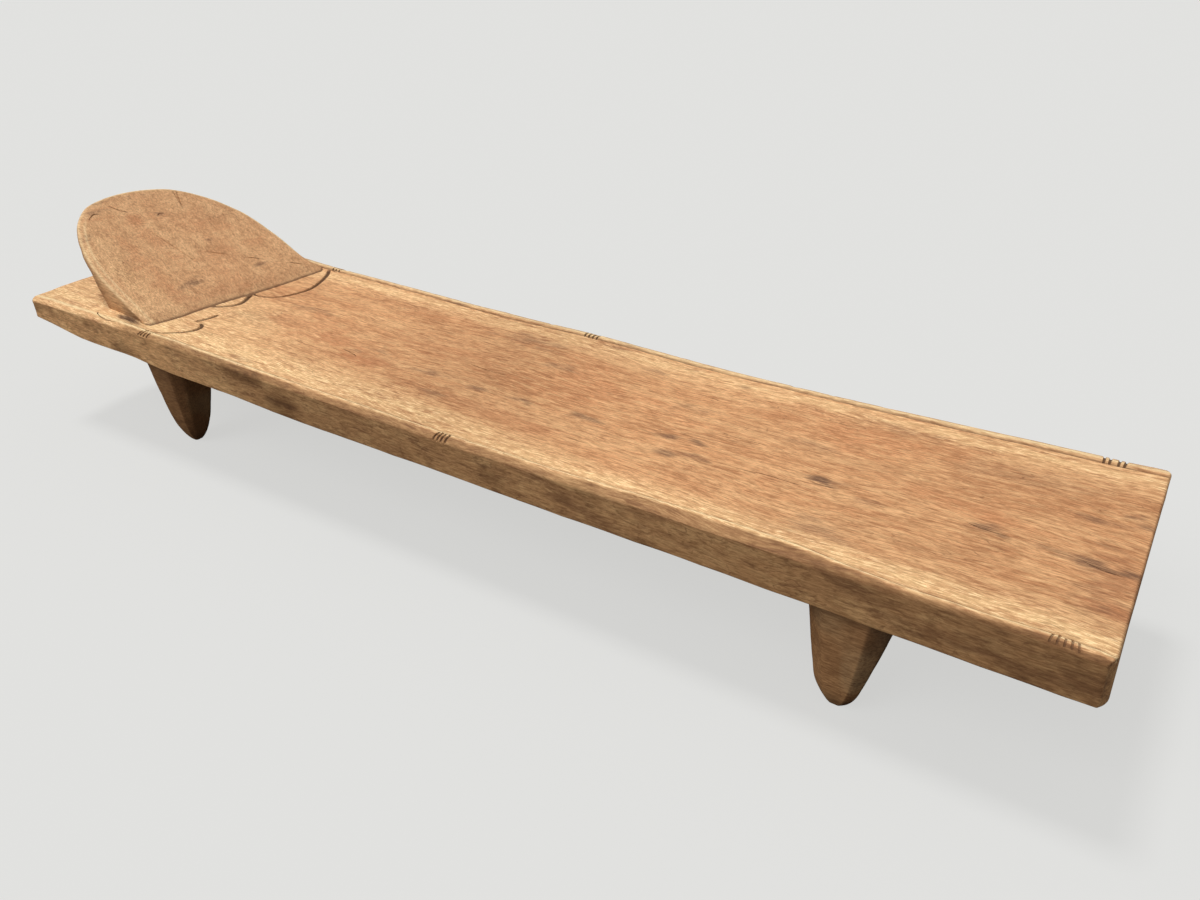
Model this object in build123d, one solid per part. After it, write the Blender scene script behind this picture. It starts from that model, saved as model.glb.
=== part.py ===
"""Carved hardwood daybed: a long dished deck with raised rims, a leaning head panel and four legs.

Frame: X runs along the bed, head at -X and foot at +X; Z is up; the floor is z = 0.
The origin is under the middle of the bed. All sizes are in millimetres.
"""
from build123d import *
import math
import os

os.makedirs("parts", exist_ok=True)

# ---------------------------------------------------------------- driving sizes
# Deck, seen from above
deck_length = 2048.0
width_head_end = 514.0
width_middle = 478.0
width_foot_end = 470.0
head_end_bulge = 36.0
head_end_corner_angle = 26.0
foot_end_bulge = 3.0
foot_corner_radius = 15.0

# Deck, seen from the side
rim_height = 260.0
rim_sag = 13.0
thickness_tip = 27.0
thickness_tongue = 57.0
thickness_neck = 57.0
thickness_shoulder = 65.0
thickness_middle = 62.0
thickness_foot = 72.0
tongue_setback = 220.0
shoulder_setback = 450.0

# Deck, cross section
side_lean = 1.0
lower_edge_radius = 5.0
rim_slope_width = 13.0
rim_slope_drop = 4.5
rim_crown_height = 1.0
rim_crest_width = 5.0
groove_width = 5.0
groove_floor_share = 0.35
groove_depth = 7.0
bed_drop = 4.0
bed_dish = 5.0

# Notches across the rims, in groups at the head, middle and foot
notch_width = 4.5
notch_depth = 3.0
notch_pitch = 10.0
notch_count = 3
notch_head_setback = 395.0
notch_middle_setback = 1097.0
notch_middle_stagger = 19.0
notch_foot_setback = 65.0

# Head panel
headrest_setback = 332.0
headrest_lean = 63.4
headrest_reach = 355.0
headrest_width = 410.0
headrest_flare = 20.0
headrest_flare_reach = 30.0
headrest_toe = 18.0
headrest_shoulder_reach = 109.0
headrest_tip_thickness = 14.0
headrest_waist_thickness = 20.0
headrest_waist_reach = 204.0
headrest_root_reach = 108.0
headrest_edge_bevel = 4.0

# Legs
leg_length_top = 111.0
leg_width_top = 101.0
leg_taper = 0.62
leg_belly = 1.2
leg_round_start = 0.8
leg_pad_share = 0.45
leg_corner_share = 0.32
leg_shaft_cuts = 3
leg_foot_cuts = 4
leg_head_setback = 366.0
leg_head_inset = 27.0
leg_foot_setback = 300.0
leg_foot_inset = 17.0

# ---------------------------------------------------------------- places worked out
head_end_x = -deck_length / 2
foot_end_x = deck_length / 2
headrest_x = head_end_x + headrest_setback
tongue_x = head_end_x + tongue_setback
shoulder_x = head_end_x + shoulder_setback
bed_middle_x = (headrest_x + foot_end_x) / 2
rim_width = rim_slope_width + rim_crest_width

# How the solids are drawn: the spacing of the deck's sections, how far cutting tools run past
# what they cut, and how deep a member is drawn into the deck before the deck cuts it back
station_pitch = 86.0
overrun = 10.0
sunk = 40.0


def parabola(first, middle, last, t):
    """Value at t on the parabola through three values, which it takes at t = -1, 0 and 1."""
    return middle + (last - first) / 2 * t + ((first + last) / 2 - middle) * t * t


def half_width(x):
    """Half the deck's width, from its widths at the head, middle and foot."""
    return parabola(width_head_end, width_middle, width_foot_end, x / foot_end_x) / 2


def rim_z(x):
    """Height of the rim crest: level behind the head panel, sagging between it and the foot."""
    if x <= headrest_x:
        return rim_height
    t = (x - bed_middle_x) / (foot_end_x - bed_middle_x)
    return rim_height - rim_sag * (1 - min(1.0, t * t))


def ease(start, end, t):
    """Value that leaves start and reaches end with no slope, for t from 0 to 1."""
    return start + (end - start) * t * t * (3 - 2 * t)


def thickness(x):
    """Deck thickness: thin at the head tip, waisted under the head panel, thickest at the foot."""
    if x < tongue_x:
        t = (tongue_x - x) / tongue_setback
        return thickness_tongue - (thickness_tongue - thickness_tip) * t * t
    if x < headrest_x:
        return ease(thickness_tongue, thickness_neck, (x - tongue_x) / (headrest_x - tongue_x))
    if x < shoulder_x:
        return ease(thickness_neck, thickness_shoulder, (x - headrest_x) / (shoulder_x - headrest_x))
    t = 2 * (x - shoulder_x) / (foot_end_x - shoulder_x) - 1
    return parabola(thickness_shoulder, thickness_middle, thickness_foot, t)


def evenly(start, end, spans):
    """Values from start to end, evenly spaced."""
    return [start + (end - start) * i / spans for i in range(spans + 1)]


def stations(start, end):
    """Places along the deck from start to end, about one station_pitch apart."""
    return evenly(start, end, round((end - start) / station_pitch))


# ---------------------------------------------------------------- deck
def deck_section(x):
    """Closed outline across the deck at x: flat top, worn rim slopes, round lower edges."""
    w = half_width(x)
    top = rim_z(x)
    bottom = top - thickness(x)
    crest = w - rim_slope_width
    edge = top - rim_slope_drop
    radius = min(lower_edge_radius, (edge - bottom) / 2)
    foot_of_side = w - side_lean
    round_in = radius * (1 - math.sin(math.radians(45)))
    slope_length = math.hypot(rim_slope_width, rim_slope_drop)
    slope_mid = (
        w - rim_slope_width / 2 + rim_crown_height * rim_slope_drop / slope_length,
        top - rim_slope_drop / 2 + rim_crown_height * rim_slope_width / slope_length,
    )

    right = [
        Line((0, bottom), (foot_of_side - radius, bottom)),
        ThreePointArc(
            (foot_of_side - radius, bottom),
            (foot_of_side - round_in, bottom + round_in),
            (foot_of_side, bottom + radius),
        ),
        Line((foot_of_side, bottom + radius), (w, edge)),
        ThreePointArc((w, edge), slope_mid, (crest, top)),
        Line((crest, top), (0, top)),
    ]
    left = [mirror(piece, about=Plane.YZ) for piece in right]
    return Plane.YZ.offset(x) * make_face(right + left)


def bed_section(x):
    """Outline of the hollow cut into the deck at x: a groove inside each rim and a dished bed."""
    top = rim_z(x)
    inner = half_width(x) - rim_width
    groove_y = inner - groove_floor_share * groove_width
    bed_y = inner - groove_width
    bed_z = top - bed_drop
    sky = top + overrun
    outline = [
        Line((-bed_y, bed_z), (-groove_y, top - groove_depth)),
        Line((-groove_y, top - groove_depth), (-inner, top)),
        Line((-inner, top), (-inner, sky)),
        Line((-inner, sky), (inner, sky)),
        Line((inner, sky), (inner, top)),
        Line((inner, top), (groove_y, top - groove_depth)),
        Line((groove_y, top - groove_depth), (bed_y, bed_z)),
        ThreePointArc((bed_y, bed_z), (0, bed_z - bed_dish), (-bed_y, bed_z)),
    ]
    return Plane.YZ.offset(x) * make_face(outline)


def plan_outline():
    """Deck seen from above, oversize at its sides: bulging ends and rounded foot corners."""
    head_corner_x = head_end_x + head_end_bulge
    head_corner_y = width_head_end / 2
    foot_corner_x = foot_end_x - foot_end_bulge
    foot_corner_y = width_foot_end / 2
    inward = math.tan(math.radians(head_end_corner_angle))
    head_curve = Spline(
        (head_corner_x, -head_corner_y),
        (head_end_x, 0),
        (head_corner_x, head_corner_y),
        tangents=[(-inward, 1), (inward, 1)],
    )
    foot_curve = ThreePointArc(
        (foot_corner_x, -foot_corner_y),
        (foot_end_x, 0),
        (foot_corner_x, foot_corner_y),
    )
    sides = [
        Polyline(
            (head_corner_x, side * head_corner_y),
            (head_corner_x + overrun, side * (head_corner_y + overrun)),
            (foot_corner_x, side * foot_corner_y),
        )
        for side in (-1, 1)
    ]
    outline = make_face([head_curve, foot_curve] + sides)
    foot_corners = outline.vertices().sort_by(Axis.X)[-2:]
    return fillet(foot_corners, foot_corner_radius)


def notch(x, side):
    """One V cut across the rim at x, following the slope of its outer face."""
    top = rim_z(x)
    start_y = side * (half_width(x) - rim_width - groove_width / 2)
    lift = 2 * notch_depth
    half_gap = notch_width / 2 * (1 + lift / notch_depth)
    triangle = Polyline(
        (x - half_gap, top + lift),
        (x, top - notch_depth),
        (x + half_gap, top + lift),
        close=True,
    )
    profile = Plane((0, start_y, 0), x_dir=(1, 0, 0), z_dir=(0, -1, 0)) * make_face(triangle)
    slope = Vector(0, side * rim_slope_width, -rim_slope_drop)
    return extrude(profile, amount=2 * rim_width, dir=slope)


def notch_group(middle_x, stagger):
    """One group of notches on each rim, the right one further to the foot by twice the stagger."""
    notches = []
    for side in (-1, 1):
        first_x = middle_x - side * stagger - notch_pitch * (notch_count - 1) / 2
        notches += [notch(first_x + notch_pitch * i, side) for i in range(notch_count)]
    return notches


def make_deck():
    """The slab: lofted blank, trimmed to plan, then the bed and the rim notches are cut."""
    blank = loft([deck_section(x) for x in stations(head_end_x - overrun, foot_end_x + overrun)])
    trim = extrude(plan_outline(), amount=rim_height + overrun)
    bed = loft([bed_section(x) for x in stations(headrest_x, foot_end_x + overrun)])
    deck = (blank & trim) - bed

    deck -= notch_group(head_end_x + notch_head_setback, 0)
    deck -= notch_group(head_end_x + notch_middle_setback, notch_middle_stagger)
    deck -= notch_group(foot_end_x - notch_foot_setback, 0)
    return deck


# ---------------------------------------------------------------- head panel
def make_headrest(deck):
    """D-shaped panel leaning back over the head end: thick at its root, thin at its tip."""
    lean = math.radians(headrest_lean)
    up_slope = Vector(-math.sin(lean), 0, math.cos(lean))
    facing = Vector(math.cos(lean), 0, math.sin(lean))
    root = (headrest_x, 0, rim_height)
    front_plane = Plane(root, x_dir=(0, 1, 0), z_dir=facing)
    side_plane = Plane(root, x_dir=up_slope, z_dir=(0, 1, 0))

    half = headrest_width / 2
    base = half + headrest_flare
    flare_span = headrest_flare_reach + headrest_toe
    flare_radius = (flare_span**2 + headrest_flare**2) / (2 * headrest_flare)
    outline = [
        Polyline((half, headrest_shoulder_reach), (half, headrest_flare_reach)),
        RadiusArc((half, headrest_flare_reach), (base, -headrest_toe), flare_radius),
        Polyline((base, -headrest_toe), (base, -sunk), (-base, -sunk), (-base, -headrest_toe)),
        RadiusArc((-base, -headrest_toe), (-half, headrest_flare_reach), flare_radius),
        Polyline((-half, headrest_flare_reach), (-half, headrest_shoulder_reach)),
        EllipticalCenterArc(
            (0, headrest_shoulder_reach),
            half,
            headrest_reach - headrest_shoulder_reach,
            start_angle=0,
            arc_size=180,
        ),
    ]
    panel = extrude(front_plane * make_face(outline), amount=-headrest_reach)
    front = panel.faces().sort_by(lambda face: face.center().dot(facing))[-1]
    worn = front.edges().filter_by(lambda edge: edge.center().Z > rim_height)
    panel = chamfer(worn, headrest_edge_bevel)

    root_drop = headrest_root_reach / math.tan(lean)
    tip_reach = headrest_reach + overrun
    inside_deck = (headrest_root_reach - overrun, -root_drop - 2 * overrun)
    blade = Line(
        (tip_reach, -headrest_tip_thickness),
        (headrest_waist_reach, -headrest_waist_thickness),
    )
    flare = TangentArc(blade @ 1, (headrest_root_reach, -root_drop), tangent=blade % 1)
    wedge = [
        blade,
        flare,
        Polyline(
            flare @ 1,
            inside_deck,
            (-sunk, -overrun),
            (-sunk, overrun),
            (tip_reach, overrun),
            blade @ 0,
        ),
    ]
    between_slopes = half_width(headrest_x) - rim_slope_width
    side = extrude(side_plane * make_face(wedge), amount=between_slopes, both=True)
    return (panel & side) - deck


# ---------------------------------------------------------------- legs
def leg_corners(x, y, z, share):
    """Corners of a leg's eight-sided section at height z: an adzed rectangle, its corners cut."""
    a = share * leg_length_top / 2
    b = share * leg_width_top / 2
    cut = leg_corner_share * b
    quarter = [(a, b - cut), (a - cut, b)]
    return [(x + i * u, y + j * v, z) for i in (-1, 1) for j in (-1, 1) for u, v in quarter]


def make_leg(x, inset, side, deck):
    """Bulging, tapering leg of flat adze cuts, its top cut to the underside of the deck."""
    y = side * (half_width(x) - inset - leg_width_top / 2)
    top = rim_z(x) - thickness(x)
    levels = evenly(0, leg_round_start, leg_shaft_cuts) + evenly(leg_round_start, 1, leg_foot_cuts)[1:]
    corners = leg_corners(x, y, top + sunk, 1)
    for level in levels:
        rounding = max(0.0, (level - leg_round_start) / (1 - leg_round_start))
        closing = math.sqrt(1 - (1 - leg_pad_share**2) * rounding**2)
        share = closing * (1 - leg_taper * level**leg_belly)
        corners += leg_corners(x, y, top * (1 - level), share)
    return ConvexPolyhedron(corners) - deck


# ---------------------------------------------------------------- assembly
deck = make_deck()
nodes = {"deck": deck, "headrest": make_headrest(deck)}
leg_places = {
    "head": (head_end_x + leg_head_setback, leg_head_inset),
    "foot": (foot_end_x - leg_foot_setback, leg_foot_inset),
}
for end, (leg_x, inset) in leg_places.items():
    for hand, side in (("left", 1), ("right", -1)):
        nodes[f"leg_{end}_{hand}"] = make_leg(leg_x, inset, side, deck)

for name, shape in nodes.items():
    export_step(shape, f"parts/{name}.step")
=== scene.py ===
"""Looks of a carved hardwood daybed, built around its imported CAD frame.

The bed lies along X with its head at -X, Z is up and the floor is z = 0. Lengths are in metres;
a small carving size is written in millimetres times MM. "Near" is the -Y side, "far" the +Y side.
"""
import itertools
import math

import bmesh
import bpy
import numpy as np
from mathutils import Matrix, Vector
from mathutils.bvhtree import BVHTree
from mathutils.kdtree import KDTree


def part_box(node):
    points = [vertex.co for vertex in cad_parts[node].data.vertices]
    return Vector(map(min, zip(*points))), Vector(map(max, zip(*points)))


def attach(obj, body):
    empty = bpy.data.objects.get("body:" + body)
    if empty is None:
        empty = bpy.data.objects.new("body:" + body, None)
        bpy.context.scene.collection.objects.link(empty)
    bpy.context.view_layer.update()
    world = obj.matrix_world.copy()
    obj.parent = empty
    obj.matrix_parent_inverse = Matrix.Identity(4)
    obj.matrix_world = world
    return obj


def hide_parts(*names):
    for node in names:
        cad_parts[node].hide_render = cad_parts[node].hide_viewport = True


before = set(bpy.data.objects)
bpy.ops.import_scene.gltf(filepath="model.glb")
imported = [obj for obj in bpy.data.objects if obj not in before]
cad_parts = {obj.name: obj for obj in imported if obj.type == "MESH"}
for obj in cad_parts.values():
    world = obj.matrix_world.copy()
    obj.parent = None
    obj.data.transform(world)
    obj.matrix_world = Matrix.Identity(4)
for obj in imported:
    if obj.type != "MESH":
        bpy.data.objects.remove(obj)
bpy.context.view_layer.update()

MM = 0.001
NEAR, FAR = -1.0, 1.0
UP = (0, 0, 1)


# ---- small maths
def smooth(low, high, value):
    """0 at low, 1 at high, held beyond them, and an even S between; high may be the lesser."""
    t = np.clip((value - low) / (high - low), 0, 1)
    return t * t * (3 - 2 * t)


def bump(middle, half, value):
    """Bell of height 1 at middle that is down to about a third a distance of half away."""
    return np.exp(-(((value - middle) / half) ** 2))


def between(x, pairs):
    """Value at x on straight lines through pairs of place and value."""
    return np.interp(x, *np.transpose(pairs))


def distance_along(line):
    """How far along a line each of its points lies."""
    steps = np.linalg.norm(np.diff(line, axis=0), axis=1)
    return np.concatenate([[0], np.cumsum(steps)])


def evenly(line, count, endpoint=True):
    """Points at even steps along a line."""
    run = distance_along(line)
    even = np.linspace(0, run[-1], count, endpoint=endpoint)
    return np.stack([np.interp(even, run, values) for values in line.T], axis=1)


def curve(points, count):
    """A smooth line of count points, evenly stepped, through points in millimetres (Catmull-Rom)."""
    p = np.array(points) * MM
    p = np.vstack([2 * p[0] - p[1], p, 2 * p[-1] - p[-2]])
    t = np.linspace(0, 1, 24, endpoint=False)[:, None]
    spans = []
    for a, b, c, d in zip(p[:-3], p[1:-2], p[2:-1], p[3:]):
        squared, cubed = 2 * a - 5 * b + 4 * c - d, 3 * (b - c) + d - a
        spans.append(b + t / 2 * (c - a + t * (squared + t * cubed)))
    return evenly(np.vstack(spans + [p[-2:-1]]), count)


CELL_FACTORS = (374761393, 668265263, 1440662683)
SEED_FACTOR, MIX_FACTOR = 1013904223, 1274126177
LOW_32_BITS, LOW_24_BITS = 0xFFFFFFFF, 0xFFFFFF


def hashed(cell, seed):
    """A repeatable value from 0 to 1 for each whole-number cell."""
    h = sum(cell[..., k] * factor for k, factor in enumerate(CELL_FACTORS)) + seed * SEED_FACTOR
    h &= LOW_32_BITS
    h = ((h ^ (h >> 13)) * MIX_FACTOR) & LOW_32_BITS
    return ((h ^ (h >> 16)) & LOW_24_BITS) / LOW_24_BITS


def noise(points, size, seed):
    """Smooth noise from -1 to 1; size is the length of its lumps along x, y and z."""
    q = points / np.asarray(size, float)
    cell = np.floor(q).astype(np.int64)
    f = q - cell
    f = f * f * (3 - 2 * f)
    total = np.zeros(len(points))
    for corner in itertools.product((0, 1), repeat=3):
        weight = np.prod(np.where(corner, f, 1 - f), axis=1)
        total += weight * hashed(cell + np.array(corner), seed)
    return 2 * total - 1


def layered(points, layers):
    """Sum of noises; each layer is its height, the size of its lumps and its seed."""
    return sum(height * noise(points, size, seed) for height, size, seed in layers)


def adze(points, size, seed):
    """Shallow hollows of an adze: 0 in the middle of each cut, rising where two cuts meet."""
    q = points / np.asarray(size, float)
    cell = np.floor(q).astype(np.int64)
    nearest = np.full(len(points), 9.0)
    for step in itertools.product((-1, 0, 1), repeat=3):
        there = cell + np.array(step)
        middle = there + np.stack([hashed(there, seed + k) for k in range(3)], axis=-1)
        nearest = np.minimum(nearest, ((q - middle) ** 2).sum(axis=1))
    return np.minimum(nearest, 1)


# ---- mesh helpers
SHARP_ANGLE = math.radians(38)
# How far a groove's flat floor reaches to each side, as a share of the groove's half width
FLOOR_SHARE = 0.7


def new_piece(name, vertices, faces):
    """A mesh object in the scene."""
    mesh = bpy.data.meshes.new(name)
    mesh.from_pydata(np.asarray(vertices).tolist(), [], faces)
    mesh.update()
    piece = bpy.data.objects.new(name, mesh)
    bpy.context.scene.collection.objects.link(piece)
    return piece


def surface(piece):
    """The place of each vertex of a piece, and its normal."""
    arrays = []
    for items, key in ((piece.data.vertices, "co"), (piece.data.vertex_normals, "vector")):
        values = np.zeros(len(items) * 3)
        items.foreach_get(key, values)
        arrays.append(values.reshape(-1, 3))
    return arrays


def place_vertices(piece, co):
    """Moves the vertices of a piece to co."""
    piece.data.vertices.foreach_set("co", co.ravel())
    piece.data.update()


def loops_to_faces(rings, count):
    """Quads between rings of count points each, numbered ring after ring."""
    here = np.arange(rings * count).reshape(rings, count)
    after = np.roll(here, -1, axis=1)
    quads = np.stack([here[:-1], after[:-1], after[1:], here[1:]], axis=-1)
    return quads.reshape(-1, 4).tolist()


def closed_rings(rings, first_pole, last_pole):
    """Vertices and faces of a closed form: rings joined in turn, with a fan to a pole at each end."""
    count = len(rings[0])
    vertices = np.vstack([*rings, first_pole, last_pole])
    faces = loops_to_faces(len(rings), count)
    last, poles = (len(rings) - 1) * count, len(vertices) - 2
    for j in range(count):
        k = (j + 1) % count
        faces += [(k, j, poles), (last + j, last + k, poles + 1)]
    return vertices, faces


def mark(piece, **marks):
    """Stores numbers from 0 to 1 at each vertex, which the material reads by name."""
    for name, values in marks.items():
        attribute = piece.data.attributes.new(name, "FLOAT", "POINT")
        attribute.data.foreach_set("value", np.clip(values, 0, 1).astype(np.float32))


def v_groove(path, up, half_width, depth, fade=0):
    """Closed cutter for a narrow-bottomed groove along path, shallower over fade at its ends."""
    up = np.broadcast_to(np.asarray(up, float), path.shape)
    along = np.gradient(path, axis=0)
    along /= np.linalg.norm(along, axis=1)[:, None]
    side = np.cross(along, up)
    side /= np.linalg.norm(side, axis=1)[:, None]
    run = distance_along(path)
    half_width = np.broadcast_to(half_width, run.shape)[:, None]
    deep = np.full(len(run), depth)
    if fade:
        deep = depth * smooth(0, fade, np.minimum(run, run[-1] - run) + 0.15 * fade)
    deep = deep[:, None]
    lift = 2 * depth
    rim, floor = path + up * lift, path - up * deep
    rim_half = side * (half_width * (1 + lift / depth) * (deep / depth))
    floor_half = side * FLOOR_SHARE * half_width
    ring = [rim - rim_half, floor - floor_half, floor + floor_half, rim + rim_half]
    vertices = np.stack(ring, axis=1).reshape(-1, 3)
    last = 4 * (len(path) - 1)
    faces = loops_to_faces(len(path), 4) + [(3, 2, 1, 0), (last, last + 1, last + 2, last + 3)]
    return vertices, faces


def carve(piece, cutters):
    """Cuts every groove in cutters out of the piece."""
    vertices, faces, count = [], [], 0
    for part_vertices, part_faces in cutters:
        vertices.append(part_vertices)
        faces += [tuple(v + count for v in face) for face in part_faces]
        count += len(part_vertices)
    tool = new_piece("cutter", np.vstack(vertices), faces)
    outward(tool)
    cut = piece.modifiers.new("carve", "BOOLEAN")
    cut.operation = "DIFFERENCE"
    cut.solver = "MANIFOLD"
    cut.object = tool
    applied(piece)
    bpy.data.objects.remove(tool)


def applied(piece):
    """Applies all modifiers of a piece to its mesh."""
    with bpy.context.temp_override(object=piece, active_object=piece, selected_objects=[piece]):
        for modifier in list(piece.modifiers):
            bpy.ops.object.modifier_apply(modifier=modifier.name)


def outward(piece):
    """Turns the faces of a closed piece outward."""
    work = bmesh.new()
    work.from_mesh(piece.data)
    bmesh.ops.recalc_face_normals(work, faces=work.faces)
    work.to_mesh(piece.data)
    work.free()


def finish_piece(piece, node, material):
    """Shades a piece, gives it its material and hands it to the frame in the place of a CAD node."""
    piece.data.polygons.foreach_set("use_smooth", [True] * len(piece.data.polygons))
    piece.data.set_sharp_from_angle(angle=SHARP_ANGLE)
    piece.data.materials.clear()
    piece.data.materials.append(material)
    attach(piece, "root")
    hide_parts(node)


# ---- the deck's outlines, from the CAD
HEAD_X, FOOT_X = (corner.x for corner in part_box("deck"))
# Where the deck is measured: on a line along the bed and one near its side, clear of the swept corners
MEASURED_Y, RIM_CREST = -0.1, 15 * MM
HEAD_CORNER, RAY_MARGIN = 36 * MM, 6 * MM

deck_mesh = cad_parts["deck"].data
deck_faces = [tuple(face.vertices) for face in deck_mesh.polygons]
deck_tree = BVHTree.FromPolygons([vertex.co for vertex in deck_mesh.vertices], deck_faces)


def measured(x, y, z, direction):
    """The point where a ray from (x, y, z) first meets the CAD deck."""
    return deck_tree.ray_cast(Vector((x, y, z)), Vector(direction))[0]


def measure_deck():
    """Half width, underside and rim height of the CAD deck at even stations along it.

    Each value is the median of three stations, which passes over the CAD's notches.
    """
    stations = np.linspace(HEAD_X + HEAD_CORNER + RAY_MARGIN, FOOT_X - 4 * RAY_MARGIN, 60)
    rows = []
    for x in stations:
        bottom = measured(x, MEASURED_Y, -1, UP).z
        top = measured(x, MEASURED_Y, 1, (0, 0, -1)).z
        half = -measured(x, -1, (bottom + top) / 2, (0, 1, 0)).y
        crest = measured(x, -half + RIM_CREST, 1, (0, 0, -1)).z
        rows.append((half, bottom, crest))
    rows = np.array([rows[0], *rows, rows[-1]])
    return stations, np.median([rows[:-2], rows[1:-1], rows[2:]], axis=0).T


station_x, (station_half, station_bottom, station_crest) = measure_deck()


def half_width(x):
    return np.interp(x, station_x, station_half)


def profile(*pairs):
    """Places along the bed, in metres, and the value at each, given in millimetres."""
    places, values = np.transpose(pairs)
    return places, values * MM


# Hand-carved unevenness: how far each edge leaves the CAD's even one
NEAR_CREST = profile(
    (-1.02, 0.0), (-0.66, -1.0), (-0.40, -1.5), (-0.10, -0.5), (0.10, 0.0), (0.45, 0.5), (0.80, 0.0),
    (0.97, -1.0), (1.02, -7.0),
)
FAR_CREST = profile(
    (-1.02, -0.5), (-0.75, -5.5), (-0.66, -7.0), (-0.50, -3.5), (-0.30, -1.5), (-0.10, 1.5), (0.05, 4.5),
    (0.20, 2.5), (0.35, -0.5), (0.50, 0.0), (0.70, 1.5), (0.90, 3.0), (1.02, 4.0),
)
UNDERSIDE = profile(
    (-1.02, -3.0), (-0.90, -4.5), (-0.72, -6.0), (-0.64, -3.0), (-0.42, -2.0), (-0.26, -5.5),
    (-0.14, -4.5), (0.06, -3.5), (0.38, -2.0), (0.54, -0.5), (0.66, -1.0), (0.94, -2.0), (1.02, -1.0),
)
SMOOTHING = 0.03


def profile_at(x, places_and_values):
    """Smoothed value of a profile at x."""
    return sum(np.interp(x + k * SMOOTHING, *places_and_values) for k in (-1, 0, 1)) / 3


def crest_z(x, side):
    """Height of the rim's crest on one side (side is NEAR or FAR, or an array of them)."""
    offset = np.where(side < 0, profile_at(x, NEAR_CREST), profile_at(x, FAR_CREST))
    return np.interp(x, station_x, station_crest) + offset


def underside_z(x):
    return np.interp(x, station_x, station_bottom) + profile_at(x, UNDERSIDE)


# ---- deck surface
SLOPE_DROP = 4.5 * MM
EDGE_ROUND, EDGE_ROUND_DROP = 4 * MM, 2.2 * MM
BEAD_HEIGHT, BEAD_HALF = 0.7 * MM, 1.8 * MM
BED_EDGE, BED_DISH = 26 * MM, 5 * MM
BED_START_X = (-0.725, -0.690)
DISH_START_X = (-0.700, -0.620)
# How far the bed lies below the crest inside the near groove, and how much deeper inside the far one
NEAR_BED_DROP, FAR_BED_EXTRA = 2.4 * MM, 1.1 * MM
# The hollow across the bed at the head panel's root: its place, half length and depth
ROOT_X, ROOT_HALF, ROOT_DROP = -0.675, 0.05, 4.5 * MM

# Where the rim's crest and the groove inside it run, in from the deck's side
NEAR_INSET = profile(
    (-1.02, 14.0), (0.30, 14.0), (0.46, 21.0), (0.54, 24.0), (0.66, 22.0), (0.71, 13.5), (0.78, 6.0),
    (0.90, 5.0), (0.97, 9.0),
)
FAR_INSET = 14 * MM
FAR_GROOVE_INSET = profile(
    (-0.70, 21.5), (-0.30, 21.5), (-0.20, 25.0), (-0.05, 25.0), (0.15, 20.5), (0.65, 20.5), (0.80, 22.0),
    (0.95, 24.5),
)
NEAR_GROOVE_STEP = 4.5 * MM
# Half width and depth of each groove
NEAR_GROOVE = (1.2 * MM, 1.9 * MM)
FAR_GROOVE = (1.9 * MM, 4.2 * MM)
FAR_LINE_STEP, FAR_LINE_HALF, FAR_LINE_DEPTH = 9 * MM, 1.2 * MM, 1.2 * MM

# Uneven carving: height in millimetres, size of the lumps and seed
BED_RELIEF = (
    (1.1, (0.22, 0.07, 1), 11), (0.5, (0.07, 0.028, 1), 12), (0.22, (0.03, 0.010, 1), 13),
    (0.10, (0.012, 0.004, 1), 14),
)
RIM_RELIEF = ((0.5, (0.05, 0.05, 1), 15), (0.35, (0.016, 0.02, 1), 16))
SIDE_RELIEF = ((1.0, (0.06, 0.1, 0.03), 41), (0.6, (0.02, 0.1, 0.014), 42))


def in_plan(x, y):
    """Points in the plane z = 0."""
    return np.stack([x, y, np.zeros_like(x)], axis=-1)


def crest_inset(x, y):
    """How far in from the deck's side the crest of the rim runs."""
    return np.where(y < 0, profile_at(x, NEAR_INSET), FAR_INSET)


def groove_inset(x, y):
    """How far in the incised groove inside the crest runs."""
    near = profile_at(x, NEAR_INSET) + NEAR_GROOVE_STEP
    return np.where(y < 0, near, profile_at(x, FAR_GROOVE_INSET))


def far_line(x, y):
    """How deep a finer line runs inside the far groove, from 0 to 1: in the middle and at the foot."""
    return np.clip(1.5 * (bump(-0.15, 0.13, x) + smooth(0.72, 0.80, x)), 0, 1) * (y > 0)


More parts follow.
